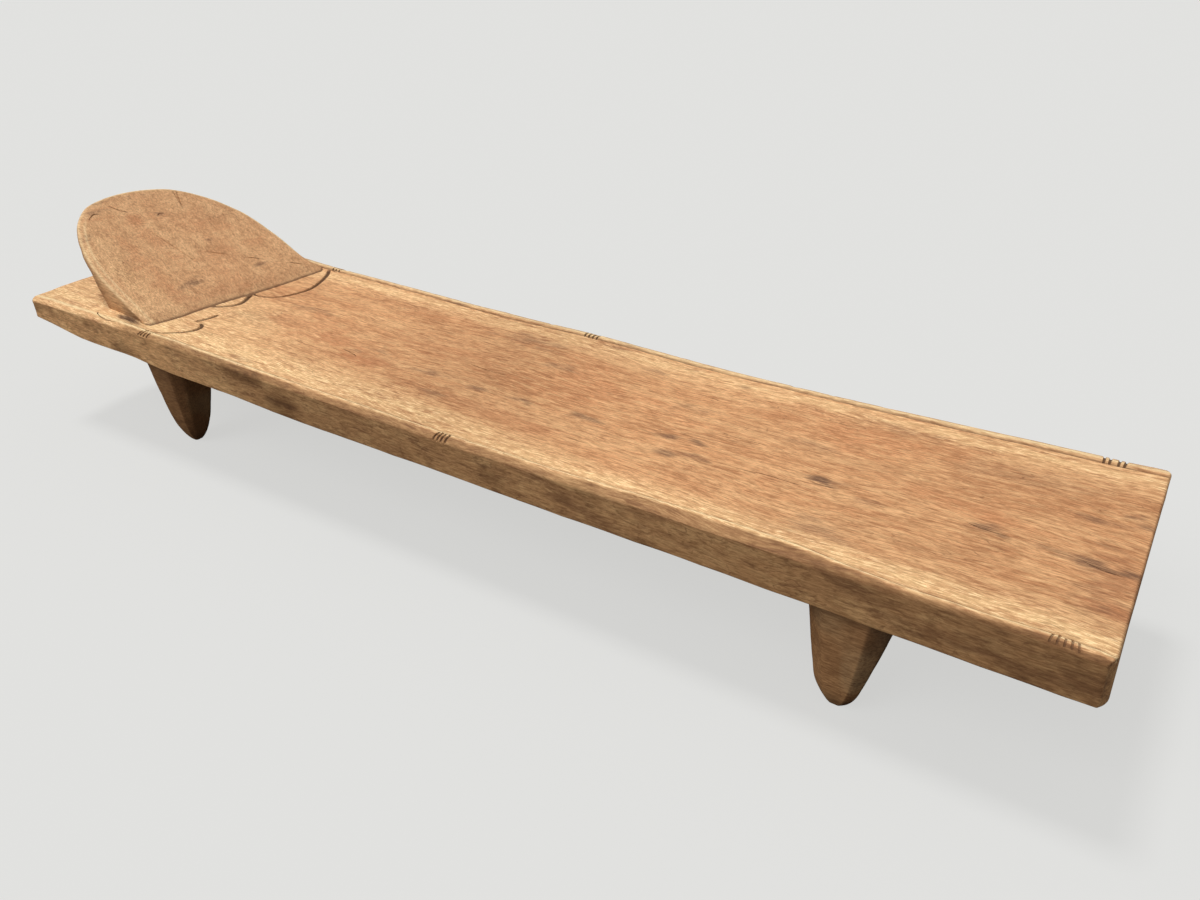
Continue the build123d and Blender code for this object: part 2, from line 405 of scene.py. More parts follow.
def top_z(x, y):
    """Height of the deck's top: worn rim slope, crest, groove and dished bed, with tool marks."""
    w = half_width(x)
    d = np.clip(w - np.abs(y), 0, None)
    across = np.clip(y / w, -1, 1)
    near, far = crest_z(x, NEAR), crest_z(x, FAR)
    crest = near + (far - near) * (across + 1) / 2
    flat = in_plan(x, y)

    inset, groove = crest_inset(x, y), groove_inset(x, y)
    slope_width = inset * (1 + 0.25 * noise(flat * (1, 0, 1), (0.09, 1, 1), 3))
    slope = np.clip(1 - d / slope_width, 0, 1) ** 1.5
    z = crest - SLOPE_DROP * slope - EDGE_ROUND_DROP * np.clip(1 - d / EDGE_ROUND, 0, 1) ** 2
    carved = smooth(*BED_START_X, x)
    groove_half, groove_depth = (np.where(y < 0, *sides) for sides in zip(NEAR_GROOVE, FAR_GROOVE))
    bed_drop = NEAR_BED_DROP + FAR_BED_EXTRA * smooth(-0.15, 0.15, y)
    z += BEAD_HEIGHT * carved * bump(inset + BEAD_HALF, BEAD_HALF, d)
    z -= groove_depth * carved * bump(groove, groove_half, d)
    z -= FAR_LINE_DEPTH * far_line(x, y) * bump(groove + FAR_LINE_STEP, FAR_LINE_HALF, d)
    z -= bed_drop * carved * smooth(groove - MM, groove + 7 * MM, d)
    z -= BED_DISH * smooth(*DISH_START_X, x) * (1 - across**2) * smooth(BED_EDGE, 3 * BED_EDGE, d)
    z -= ROOT_DROP * bump(ROOT_X, ROOT_HALF, x) * smooth(18 * MM, 36 * MM, d)

    on_bed = smooth(0.5 * BED_EDGE, 1.5 * BED_EDGE, d)
    nicks = np.clip(noise(flat, (0.022, 0.03, 1), 17) - 0.55, 0, 1)
    rim_relief = layered(flat, RIM_RELIEF) - 3.0 * nicks
    return z + MM * (layered(flat, BED_RELIEF) * on_bed + rim_relief * (1 - on_bed))


def bottom_z(x, y):
    """Height of the deck's underside, with the facets that the adze left."""
    flat = in_plan(x, y)
    cuts = adze(flat + 0.013 * noise(flat, (0.1, 0.1, 1), 22)[:, None], (0.075, 0.045, 1), 21)
    return underside_z(x) + MM * (0.6 + 1.6 * (0.4 - cuts) + 0.7 * noise(flat, (0.2, 0.1, 1), 23))


# How far the head end's near and far corners are swept back, and what the near one keeps of that
NEAR_BULGE, FAR_BULGE, NEAR_CORNER = 40 * MM, 36 * MM, 11 * MM
HEAD_BACK = 0.3 * MM
FOOT_BACK, FOOT_SKEW, FOOT_LEAN = 0.5 * MM, 0.5 * MM, 3.0 * MM
FOOT_WAVE, FOOT_CORNER = 0.8 * MM, 6 * MM
TIP_ROUND, END_ROUND = 2 * MM, 4 * MM
# The flanks lean in by SIDE_LEAN. The rounding of their lower edge stops LOWER_STOP short of level,
# and LOWER_TURN is about that angle's cosine squared
SIDE_LEAN, LOWER_ROUND = 1 * MM, 4 * MM
LOWER_STOP, LOWER_TURN = math.radians(15), 0.93
# The rings around the deck: their number, and the rows across the top, fine near its sides
DECK_SPANS = 400
END_STEPS = np.radians([0, 22, 45, 68, 90])
FINE_ROWS = 38 * MM
RIM_ROWS = np.arange(0, FINE_ROWS, 0.9 * MM)
BED_ROWS = np.linspace(-1, 1, 98)
ROWS_ACROSS = 2 * len(RIM_ROWS) + len(BED_ROWS)
SIDE_STEPS = np.linspace(0, 1, 24)[1:-1]
NOMINAL_HALF = 0.24


def head_x(v):
    """The head end in plan: nearly straight at its middle, swept back to the corners."""
    bulge = np.where(v < 0, NEAR_BULGE, FAR_BULGE)
    return HEAD_X + HEAD_BACK + bulge * np.abs(v) ** 4 - NEAR_CORNER * smooth(0.80, 1.0, -v)


def foot_x(v, height):
    """The foot end in plan; height is 0 at the underside and 1 at the top, which is worn back."""
    wavy = FOOT_WAVE * noise(in_plan(v, 0 * v), (0.3, 1, 1), 31)
    corner = FOOT_CORNER * np.clip((np.abs(v) - 0.93) / 0.07, 0, 1) ** 2
    square = FOOT_X - FOOT_BACK - FOOT_SKEW * (1 + v)
    return square - np.abs(wavy) - corner - FOOT_LEAN * height * (0.6 - 0.4 * v)


def across_top(half):
    """Places across the deck's top, where half is its half width at each of them."""
    count = len(RIM_ROWS)
    bed = BED_ROWS * (half[count:-count] - FINE_ROWS)
    return np.concatenate([RIM_ROWS - half[:count], bed, half[-count:] - RIM_ROWS[::-1]])


def side_rows(side, high, low, inset):
    """Points down a flank from high, at the rim, to low, at the underside, dented by the adze."""
    z = high[2] + (low[2] - high[2]) * SIDE_STEPS
    x = high[0] + (low[0] - high[0]) * SIDE_STEPS
    lower = np.clip(1 - (z - low[2]) / LOWER_ROUND, 0, 1)
    rounding = LOWER_ROUND * (1 - np.sqrt(1 - LOWER_TURN * lower**2))
    y = half_width(x) - inset - SIDE_LEAN * SIDE_STEPS - rounding
    points = np.stack([x, side * y, z], axis=-1)
    dents = 0.8 * layered(points, SIDE_RELIEF) - 0.4
    points[:, 1] += side * MM * np.sin(np.pi * SIDE_STEPS) * dents
    return points


def deck_ring(u, back, inset):
    """One closed ring around the deck at share u of its length.

    back is how far the ring stands in from the end and inset how far it is drawn in all round,
    which together round the end's edges.
    """
    v = across_top(np.full(ROWS_ACROSS, NOMINAL_HALF)) / NOMINAL_HALF

    def x_at(height):
        start, end = head_x(v) + back, foot_x(v, height) - back
        return start + (end - start) * u

    x = x_at(1.0)
    w = half_width(x)
    y = across_top(w)
    top = np.stack([x, y * ((w - inset) / w), top_z(x, y) - inset], axis=-1)

    x = x_at(0.0)
    foot = half_width(x) - SIDE_LEAN - LOWER_ROUND * (1 - math.sin(LOWER_STOP))
    y = v * foot
    bottom = np.stack([x, y * (foot - inset) / foot, bottom_z(x, y) + inset], axis=-1)

    far_side = side_rows(FAR, top[-1], bottom[-1], inset)
    near_side = side_rows(NEAR, top[0], bottom[0], inset)
    return np.concatenate([top, far_side, bottom[::-1], near_side[::-1]])


def end_cap(vertices, first):
    """Closes the end of the deck whose ring starts at vertex first with rows across it.

    Returns all the vertices, with the new ones last, and the cap's faces.
    """
    side = len(SIDE_STEPS)
    top = first + np.arange(ROWS_ACROSS)
    far_side = first + ROWS_ACROSS + np.arange(side)
    bottom = first + ROWS_ACROSS + side + np.arange(ROWS_ACROSS)[::-1]
    near_side = first + 2 * ROWS_ACROSS + side + np.arange(side)[::-1]
    levels, faces = [top], []
    for k, share in enumerate(np.arange(1, side + 1) / (side + 1)):
        inner = vertices[top[1:-1]] * (1 - share) + vertices[bottom[1:-1]] * share
        added = len(vertices) + np.arange(len(inner))
        vertices = np.concatenate([vertices, inner])
        levels.append(np.concatenate([[near_side[k]], added, [far_side[k]]]))
    levels.append(bottom)
    for a, b in zip(levels[:-1], levels[1:]):
        faces += np.stack([a[:-1], a[1:], b[1:], b[:-1]], axis=1).tolist()
    return vertices, faces


def make_deck():
    """The slab: rings along the bed, rounded ends, then the incised grooves and rim notches."""

    def end_ring(u, radius, angle):
        return deck_ring(u, radius * (1 - math.sin(angle)), radius * (1 - math.cos(angle)))

    rings = [end_ring(0.0, TIP_ROUND, angle) for angle in END_STEPS[::-1]]
    for i in range(1, DECK_SPANS):
        rings.append(deck_ring(i / DECK_SPANS, END_ROUND * (i / DECK_SPANS), 0.0))
    rings += [end_ring(1.0, END_ROUND, angle) for angle in END_STEPS]
    count = len(rings[0])
    vertices = np.concatenate(rings)
    faces = loops_to_faces(len(rings), count)
    for first in (0, (len(rings) - 1) * count):
        vertices, cap = end_cap(vertices, first)
        faces += cap

    piece = new_piece("deck_carved", vertices, faces)
    outward(piece)
    carve(piece, scallop_cutters() + notch_cutters() + crack_cutters())
    return piece


# ---- incised lines and notches
# Points in millimetres seen from above, on the bed before the head panel
SCALLOPS = (
    ((-675, 34), (-659, 30), (-635, 36), (-609, 54), (-596, 88), (-596, 124), (-612, 165), (-634, 204),
     (-652, 225)),
    ((-671, -70), (-649, -45), (-643, -18), (-662, 17), (-676, 35)),
    ((-645, -232), (-609, -209), (-591, -184), (-588, -164), (-594, -150), (-603, -142), (-613, -138)),
    ((-631, -136), (-623, -115), (-622, -89)),
)
# Notches: side, first and last place in from it, how bold, and places along the bed, in millimetres
NOTCHES = (
    (NEAR, 1, 12, 1.0, (-648, -641, -633, -625)),
    (FAR, -2, 24, 1.0, (-642, -632, -622)),
    (NEAR, -2, 15, 1.0, (77, 84, 91, 99)),
    (FAR, -2, 24, 1.0, (45, 54, 63, 72)),
    (NEAR, 1, 13, 0.5, (954, 961, 968, 975, 982)),
    (FAR, -2, 24, 1.0, (936, 944, 956, 964)),
)
# Shrinkage cracks, seen from above in the same way
CRACKS = (
    ((-812, -223), (-790, -236), (-754, -242), (-729, -239)),
    ((508, -66), (545, -60), (598, -62)),
    ((350, 121), (362, 124), (380, 121)),
    ((430, 24), (470, 20), (505, 22)),
    ((812, -36), (838, -41), (872, -42)),
    ((-300, -66), (-262, -74), (-250, -80)),
    ((600, -42), (622, -46), (640, -45)),
    ((-60, 12), (-20, 8), (25, 9)),
    ((955, -50), (980, -58), (1005, -60)),
)
SCALLOP_HALF, SCALLOP_DEPTH, SCALLOP_FADE = 2.4 * MM, 3.4 * MM, 6 * MM
NOTCH_HALF, NOTCH_DEPTH = 1.5 * MM, 2.2 * MM
CRACK_HALF, CRACK_DEPTH, CRACK_FADE = 0.7 * MM, 1.6 * MM, 12 * MM


def on_deck(line):
    """Lifts a line of plan points in metres onto the deck's top."""
    return np.column_stack([line, top_z(line[:, 0], line[:, 1])])


def scallop_cutters():
    """Grooves of the scallop lines, broader where they run across the bed."""
    cutters = []
    for points in SCALLOPS:
        line = curve(points, 60)
        along = np.gradient(line, axis=0)
        across_bed = np.abs(along[:, 1]) / np.linalg.norm(along, axis=1)
        half = SCALLOP_HALF * (0.9 + 0.7 * across_bed)
        cutters.append(v_groove(on_deck(line), UP, half, SCALLOP_DEPTH, SCALLOP_FADE))
    return cutters


def notch_cutters():
    """Grooves across the rims, fanned out a little, every other one reaching further in."""
    cutters = []
    for side, outer, inner, bold, places in NOTCHES:
        for index, x in enumerate(places):
            lean = (1.5 - index) * 0.6 * MM
            inset = np.linspace(outer, inner + 2 * (index % 2), 9) * MM
            y = side * (half_width(x * MM) - inset)
            path = on_deck(np.column_stack([x * MM + np.linspace(-lean, lean, 9), y]))
            path[0] = path[1] + (path[1] - path[2])
            cutters.append(v_groove(path, UP, NOTCH_HALF * bold**0.5, NOTCH_DEPTH * bold))
    return cutters


def crack_cutters():
    paths = [on_deck(curve(points, 20)) for points in CRACKS]
    return [v_groove(path, UP, CRACK_HALF, CRACK_DEPTH, CRACK_FADE) for path in paths]


# ---- colour marks on the deck
# Dark stains on the bed: place, half length, half width (millimetres) and strength
STAINS = (
    (-84, -57, 42, 9, 0.6), (7, -61, 30, 8, 0.8), (-37, -113, 46, 9, 0.5), (105, -56, 34, 9, 0.6),
    (233, -50, 44, 9, 0.8), (364, -32, 30, 9, 0.95), (389, -80, 30, 9, 0.8), (423, -28, 20, 9, 0.85),
    (432, -70, 26, 8, 0.6), (86, 87, 34, 12, 0.5), (384, 186, 15, 7, 0.5), (236, 160, 26, 7, 0.5),
    (356, 77, 36, 14, 0.35), (620, -35, 30, 13, 1.0), (693, -56, 34, 8, 0.45), (843, -35, 28, 12, 0.9),
    (923, -46, 30, 10, 0.5), (952, 56, 40, 8, 0.6), (986, -52, 46, 12, 0.9), (998, 87, 14, 11, 0.6),
    (1007, 67, 12, 8, 0.6), (1004, -141, 16, 8, 0.5), (-270, -63, 26, 7, 0.45), (-225, -38, 40, 9, 0.4),
    (-503, 39, 60, 12, 0.45), (-407, -208, 30, 7, 0.3), (-722, -214, 30, 11, 1.0),
    (-690, -180, 18, 16, 0.35), (132, 204, 34, 8, 0.4), (-266, 222, 30, 6, 0.4), (560, 60, 40, 10, 0.35),
)
# Wide soft shadows of age, listed in the same way
SOFT_STAINS = (
    (-31, 153, 80, 26, 0.6), (668, -155, 56, 26, 0.6), (667, 169, 60, 20, 0.35),
    (860, 120, 110, 36, 0.25), (990, -80, 40, 90, 0.35), (-560, -60, 70, 30, 0.25),
)
RED_KNOTS = (
    (-238, -78, 60, 20, 0.9), (-329, -44, 60, 26, 0.7), (-440, -20, 120, 60, 0.6),
    (-150, 40, 160, 50, 0.35), (999, -139, 30, 16, 0.8), (1000, -60, 30, 60, 0.5),
    (560, -60, 60, 12, 0.5), (120, -120, 140, 24, 0.35),
)

# At places along the bed: how light the raw flank and the top are, how much darker the near rim's
# slope is, how far that slope has the raw flank's look, and the worn bead's half width in millimetres
FLANK_SHADES = (
    (-1.02, 0.69), (-0.60, 0.66), (-0.40, 0.45), (-0.25, 0.36), (0.30, 0.43), (0.70, 0.35), (1.02, 0.28),
)
TOP_SHADES = (
    (-1.02, 0.45), (-0.70, 0.47), (-0.40, 0.50), (0.0, 0.40), (0.35, 0.50), (0.80, 0.45), (1.02, 0.46),
)
# The near rim's slope is darkened with painted shade
SLOPE_PAINTED_SHADE = ((-0.40, 0.28), (-0.20, 0.14), (0.50, 0.16), (0.90, 0.20))
SLOPE_RAW = ((-0.40, 1.0), (-0.20, 0.65), (0.50, 0.50), (0.90, 0.75))
BEAD_WORN = ((-0.40, 4.0), (-0.20, 1.4), (1.0, 1.4))


def uneven(co, size, seed):
    """Noise from 0 to 1."""
    return 0.5 + 0.5 * noise(co, size, seed)


def spots(co, listed, seed):
    """Sum of spots at the listed places, each ragged in proportion to its size."""
    ragged_x = 0.7 * noise(co, (0.03, 0.012, 1), seed)
    ragged_y = 0.7 * noise(co, (0.018, 0.006, 1), seed + 1)
    total = np.zeros(len(co))
    for x, y, half_length, half_breadth, strength in listed:
        dx = (co[:, 0] - x * MM) / (half_length * MM) + ragged_x
        dy = (co[:, 1] - y * MM) / (half_breadth * MM) + ragged_y
        total += strength * smooth(1.25, 0.35, np.hypot(dx, dy))
    return np.clip(total, 0, 1)


def deck_lines(x, y, d, broad):
    """Where the incised lines hold dirt; d is the distance from the side, broad uneven from 0 to 1."""
    groove = groove_inset(x, y)
    near_line = bump(groove, 1.6 * MM, d) * (0.75 + 0.45 * broad)
    second = 0.5 * far_line(x, y) * bump(groove + FAR_LINE_STEP, FAR_LINE_HALF, d)
    return np.where(y < 0, near_line, bump(groove, FAR_GROOVE[0], d) + second) * smooth(*BED_START_X, x)


def deck_pale(x, y, d, broad):
    """Where the top has stayed pale: beside both rims, on the tongue, near the head and one crescent."""
    band = 30 * MM + 22 * MM * smooth(0.3, -0.3, x)
    near_band = bump(band, band, d) * (y < 0) * (0.62 + 0.50 * broad)
    far_band = 0.6 * bump(44 * MM, 24 * MM, d) * (y >= 0)
    tongue = 0.5 * smooth(-0.66, -0.80, x)
    head_glow = 0.55 * smooth(-0.20, -0.60, x) * smooth(0.10, -0.10, y)
    crescent = 0.9 * bump(0.668, 0.07, x) * bump(-0.185, 0.012, y - 0.9 * (x - 0.668) ** 2)
    return np.maximum.reduce([near_band, far_band, tongue, head_glow, crescent])


def mark_deck(piece):
    """Stores where the deck is raw, worn, pale, stained or dirty, and where light and shade are painted.
    """
    co = surface(piece)[0]
    x, y, z = co.T
    w = half_width(x)
    d, v = w - np.abs(y), y / w
    near = y < 0
    carved = smooth(*BED_START_X, x)
    inset = crest_inset(x, y)
    ragged = layered(co, ((1.0, (0.05, 0.05, 0.02), 51), (0.5, (0.015, 0.02, 0.008), 52)))
    streaky, broad = uneven(co, (0.12, 0.012, 1), 53), uneven(co, (0.30, 0.05, 1), 54)

    # Which points lie on the flank, and which on the top or a little below it in a groove
    edge = crest_z(x, np.where(near, NEAR, FAR)) - SLOPE_DROP - EDGE_ROUND_DROP
    below_top = top_z(x, y) - z
    on_top = below_top < 5 * MM
    near_edge = np.where(on_top, smooth(26 * MM, 12 * MM, d), 1)
    side = smooth(-1.5 * MM, 4.5 * MM, edge - z + 2.6 * MM * ragged) * near_edge
    slope = smooth(-1 * MM, -6 * MM, d - inset + 2.5 * MM * ragged)
    flank = np.maximum(side, np.where(near, between(x, SLOPE_RAW), 0.1) * carved * slope)

    # Dirt in cuts in the top; painted shade in the hollow beside the head panel and on the foot end's
    # edge
    from_foot = foot_x(v, 1.0) - x
    off_ends = np.minimum(x - head_x(v), from_foot) > 8 * MM
    cut = smooth(0.15 * MM, 1.6 * MM, below_top) * on_top * (d > 1.2 * MM) * off_ends
    lines = 0.75 * deck_lines(x, y, d, broad) * on_top
    panel_hollow_shade = 0.85 * bump(-0.722, 0.026, x) * bump(-0.213, 0.011, y + 0.006 * ragged) * on_top
    foot_edge_shade = 0.5 * smooth(3.5 * MM, 1.5 * MM, from_foot) * on_top

    near_crest = bump(inset + BEAD_HALF, between(x, BEAD_WORN) * MM, d)
    crest = np.where(near, near_crest, bump(FAR_INSET, 5 * MM, d)) * (z > edge)
    pale = deck_pale(x, y, d, broad)
    shade = between(x, FLANK_SHADES) * flank + between(x, TOP_SHADES) * (1 - flank)
    shade += 0.07 * pale * (1 - flank)
    # Painted shade on the near rim's slope
    shade -= between(x, SLOPE_PAINTED_SHADE) * slope * (1 - side) * near * carved
    # Painted light on the flank's corner at the foot end, which faces away from the lamps
    shade += 0.10 * smooth(FOOT_X - 14 * MM, FOOT_X - 4 * MM, x) * side
    shade -= 0.35 * flank * smooth(0.1, 0.7, noise(co, (0.09, 0.09, 0.03), 55)) * (x < 0.6)
    stain = np.maximum(spots(co, STAINS, 61), 0.8 * spots(co, SOFT_STAINS, 65))
    mark(
        piece,
        flank=flank,
        dirt=np.maximum.reduce([cut, lines, panel_hollow_shade, foot_edge_shade]),
        wear=crest * (0.7 + 0.3 * streaky),
        pale=pale * (1 - flank),
        stain=stain * (1 - side),
        red=spots(co, RED_KNOTS, 63) * (1 - side),
        shade=shade,
    )


# ---- head panel
LEAN = math.radians(63.4)
UP_SLOPE = np.array([-math.sin(LEAN), 0, math.cos(LEAN)])
FACING = np.array([math.cos(LEAN), 0, math.sin(LEAN)])
PANEL_ROOT = np.array([HEAD_X + 332 * MM, 0, 260 * MM])
# The panel's outline on its front plane, in millimetres: across the bed, then up the slope
PANEL_OUTLINE = (
    (-216, -34), (-209, -18), (-207, 0), (-206, 26), (-205, 60), (-203, 100), (-200, 140), (-193, 178),
    (-182, 217), (-162, 263), (-137, 302), (-101, 334.5), (-59, 348), (-18, 353.5), (22, 352.5),
    (58, 346.5), (92, 336), (120, 318), (143, 296), (164, 269), (181, 238), (196, 202), (204, 160),
    (209, 118), (211, 80), (211, 44), (213, 18), (219, -2), (228, -20), (240, -30),
)
PANEL_CENTRE = np.array([0.0, 150.0]) * MM
TIP_THICKNESS, WAIST_THICKNESS = 13 * MM, 20 * MM
WAIST_REACH = 0.20
ROOT_FLARE = 3.6
# The flare is capped at ROOT_LIMIT, plus LIMIT_GROWTH times the distance up the slope
ROOT_LIMIT, LIMIT_GROWTH = 50 * MM, 0.25
# The rounding of the front and back edge; the back one is flattened
FRONT_ROUND, BACK_ROUND, BACK_FLATNESS = 4 * MM, 6 * MM, 0.8
ROUND_STEPS = np.radians([70, 50, 30, 12])
BEVEL_WIDTH, BEVEL_DEPTH = 13 * MM, 3 * MM
HOLLOW_DEPTH, HOLLOW_HALF = 2.5 * MM, 0.20
OUTLINE_POINTS, BASE_POINTS = 360, 60
PANEL_RELIEF = (
    (0.9, (0.08, 0.06, 0.05), 71), (0.35, (0.025, 0.022, 0.02), 72), (0.12, (0.010, 0.008, 0.008), 73),
)


def panel_thickness(s):
    """Thickness behind the front face at s up the slope: thin at the tip, flaring to the root."""
    blade = TIP_THICKNESS + (WAIST_THICKNESS - TIP_THICKNESS) * smooth(0.35, WAIST_REACH, s)
    flare = ROOT_FLARE * np.clip(WAIST_REACH - s, 0, None) ** 2
    return np.minimum(blade + flare, ROOT_LIMIT + LIMIT_GROWTH * np.clip(s, 0, None))


def front_hollow(y, s):
    """How far the front face is dished behind its plane."""
    along = smooth(-0.02, 0.08, s) * smooth(0.36, 0.24, s)
    return HOLLOW_DEPTH * np.clip(1 - (y / HOLLOW_HALF) ** 2, 0, 1) * along


def panel_point(y, s, depth):
    """The points at y across and s up the panel, depth behind its front plane."""
    y, s, depth = (values[:, None] for values in (y, s, depth))
    return PANEL_ROOT + y * np.array([0, 1, 0]) + s * UP_SLOPE - depth * FACING


def make_headrest():
    """Rings in from the outline over the front and the back, joined by a rounded edge."""
    outline = curve(PANEL_OUTLINE, OUTLINE_POINTS)
    base_y = np.linspace(outline[-1, 0], outline[0, 0], BASE_POINTS + 2)[1:-1]
    outline = np.vstack([outline, np.column_stack([base_y, np.full(BASE_POINTS, outline[0, 1])])])
    inward = PANEL_CENTRE - outline
    reach = np.linalg.norm(inward, axis=1)
    inward /= reach[:, None]

    def front_ring(inset, depth_in=0.0):
        y, s = (outline + inward * np.minimum(inset, reach - 0.1 * MM)[:, None]).T
        bevel = BEVEL_DEPTH * np.clip(1 - inset / BEVEL_WIDTH, 0, 1) * smooth(-0.06, -0.14, y)
        return panel_point(y, s, front_hollow(y, s) + bevel + depth_in)

    def back_ring(inset, depth_in=0.0):
        y, s = (outline + inward * np.minimum(inset, reach - 0.1 * MM)[:, None]).T
        return panel_point(y, s, panel_thickness(s) - depth_in)

    shares = np.linspace(1, 0, 46)[1:] ** 1.25
    insets = [FRONT_ROUND + (reach - FRONT_ROUND) * share for share in shares]
    rings = [front_ring(inset) for inset in insets]
    for angle in ROUND_STEPS:
        rings.append(front_ring(FRONT_ROUND * (1 - math.cos(angle)), FRONT_ROUND * (1 - math.sin(angle))))
    for angle in ROUND_STEPS[::-1]:
        depth_in = BACK_ROUND * (1 - math.sin(angle)) * BACK_FLATNESS
        rings.append(back_ring(BACK_ROUND * (1 - math.cos(angle)), depth_in))
    rings += [back_ring(inset) for inset in insets[::-1]]
    y, s = PANEL_CENTRE[:, None]
    front_pole, back_pole = panel_point(y, s, front_hollow(y, s)), panel_point(y, s, panel_thickness(s))
    piece = new_piece("headrest_carved", *closed_rings(rings, front_pole, back_pole))
    outward(piece)
    carve(piece, scratch_cutters())

    co, normals = surface(piece)
    back_side = smooth(0.2, -0.4, normals @ FACING)
    below_tip = 1 - 0.9 * smooth(0.28, 0.34, (co - PANEL_ROOT) @ UP_SLOPE)
    cuts = (0.5 - adze(co, (0.05, 0.038, 0.04), 74)) * (0.5 + 2.0 * back_side)
    relief = layered(co, PANEL_RELIEF) * (0.6 + 0.6 * back_side) + cuts
    place_vertices(piece, co + normals * (MM * below_tip * relief)[:, None])
    return piece


# Scratches on the front face, in millimetres: across, then up the slope
SCRATCHES = (
    ((98, 323), (91, 296), (83, 267)),
    ((105, 321), (97, 302), (88, 281)),
    ((-118, 296), (-100, 308), (-88, 306)),
    ((-56, 322), (-42, 302), (-33, 294)),
    ((16, 262), (26, 268), (34, 265)),
    ((-28, 225), (-18, 170), (-6, 100)),
)
SCRATCH_HALF, SCRATCH_DEPTH, SCRATCH_FADE = 1.1 * MM, 1.3 * MM, 14 * MM


def scratch_cutters():
    cutters = []
    for points in SCRATCHES:
        y, s = curve(points, 24).T
        path = panel_point(y, s, front_hollow(y, s))
        cutters.append(v_groove(path, FACING, SCRATCH_HALF, SCRATCH_DEPTH, SCRATCH_FADE))
    return cutters


# Marks on the head panel: across and up the slope, half width, half height and strength
PANEL_KNOTS = (
    (-54, 50, 26, 13, 0.9), (113, 45, 24, 9, 0.8), (61, 156, 9, 7, 0.6), (25, 266, 9, 6, 0.7),
    (-69, 339, 20, 5, 0.5), (-1, 336, 8, 4, 0.4), (31, 332, 8, 4, 0.4), (-99, 314, 26, 6, 0.6),
    (-158, 250, 16, 10, 0.5),
)
PANEL_SHADES = (
    (-40, 200, 18, 90, 0.6), (60, 120, 60, 20, 0.3), (150, 110, 30, 20, 0.45), (-110, 60, 26, 90, 0.5),
    (-110, 292, 34, 8, 0.6), (-60, 318, 34, 6, 0.6), (90, 210, 50, 22, 0.3), (-20, 10, 90, 20, 0.4),
    (-100, 180, 14, 90, 0.45), (20, 70, 30, 60, 0.3), (-30, 260, 60, 14, 0.35), (120, 180, 30, 14, 0.4),
)


def from_outline(y, s):
    """Distance of each point from the panel's outline, along its front plane."""
    line = curve(PANEL_OUTLINE, 1500)
    tree = KDTree(len(line))
    for index, point in enumerate(line):
        tree.insert((*point, 0), index)
    tree.balance()
    return np.array([tree.find((a, b, 0))[2] for a, b in zip(y, s)])


def scratched(y, s):
    """1 in the scratches and 0 beside them."""
    away = np.full(len(y), np.inf)
    for points in SCRATCHES:
        line = curve(points, 40)
        from_line = np.hypot(y[:, None] - line[:, 0], s[:, None] - line[:, 1])
        away = np.minimum(away, from_line.min(axis=1))
    return smooth(1.6 * MM, 0.4 * MM, away)


def mark_headrest(piece):
    """Stores where the head panel is raw, worn, pale, stained or dirty, and where light is painted."""
    co, normals = surface(piece)
    rel = co - PANEL_ROOT
    y, s, depth = rel[:, 1], rel @ UP_SLOPE, rel @ -FACING
    flat = in_plan(y, s)
    back = smooth(0.5, -0.1, normals @ FACING)
    front = 1 - back
    near_side = smooth(0.30, 0.75, -normals[:, 1]) * back
    from_edge = from_outline(y, s)
    over_bed = co[:, 2] - top_z(co[:, 0], y)
    streaky = uneven(flat, (0.02, 0.12, 1), 81)

    # Painted highlight along the bevel's ridge
    painted_ridge_highlight = bump(BEVEL_WIDTH, 2.2 * MM, from_edge) * smooth(-0.10, -0.15, y) * front
    # Wear with a painted highlight along the front edge
    rim = bump(1.5 * MM, 3.2 * MM, from_edge) * front * smooth(0.02, 0.08, s)
    rim *= 0.45 + 0.55 * smooth(-0.12, 0.0, y)
    # Painted shade in the hollow at the back of the panel, low by the root
    painted_hollow_shade = 0.75 * smooth(0.13, 0.02, s) * back * (1 - near_side)
    # Painted shade at the crease where the front meets the deck, and just above it
    root = 0.6 * (smooth(3.2 * MM, 1.2 * MM, over_bed) + 0.3 * smooth(24 * MM, 0, over_bed)) * front
    scratches = 0.56 * scratched(y, s) * front
    # Painted shade at the foot of the near side
    foot = 0.9 * smooth(34 * MM, 8 * MM, over_bed) * near_side * smooth(-0.775, -0.74, co[:, 0])
    # Painted shade along the near side's back edge
    painted_back_edge_shade = 0.55 * near_side * (depth > 0.6 * panel_thickness(s))
    mark(
        piece,
        flank=0.85 * back * (1 - near_side),
        dirt=np.maximum.reduce([painted_hollow_shade, root, scratches, foot, painted_back_edge_shade]),
        wear=np.maximum(0.5 * painted_ridge_highlight, rim),
        pale=0.45 * smooth(-0.09, -0.18, y) * front * streaky,
        stain=spots(flat, PANEL_KNOTS, 83) * front,
        red=0.8 * spots(flat, PANEL_SHADES, 85) * front,
        # Painted light and shade by facing: the near-facing side lighter, the back darker
        shade=0.5 + 0.04 * front - 0.10 * back + 0.22 * near_side,
    )


# ---- legs
LEG_LEVELS, LEG_AROUND = 70, 72
LEG_SUNK = 12 * MM
LEG_CORNER, LEG_SOFTNESS = 0.42, 0.022
# The foot starts to round this far down the leg, and its worn pad is this share of its girth
LEG_ROUND_START, LEG_PAD = 0.74, 0.42
LEG_FLARE, FLARE_REACH = 0.05, 9 * MM
# An outline is rounded on this many times the points that it keeps
FINER = 8


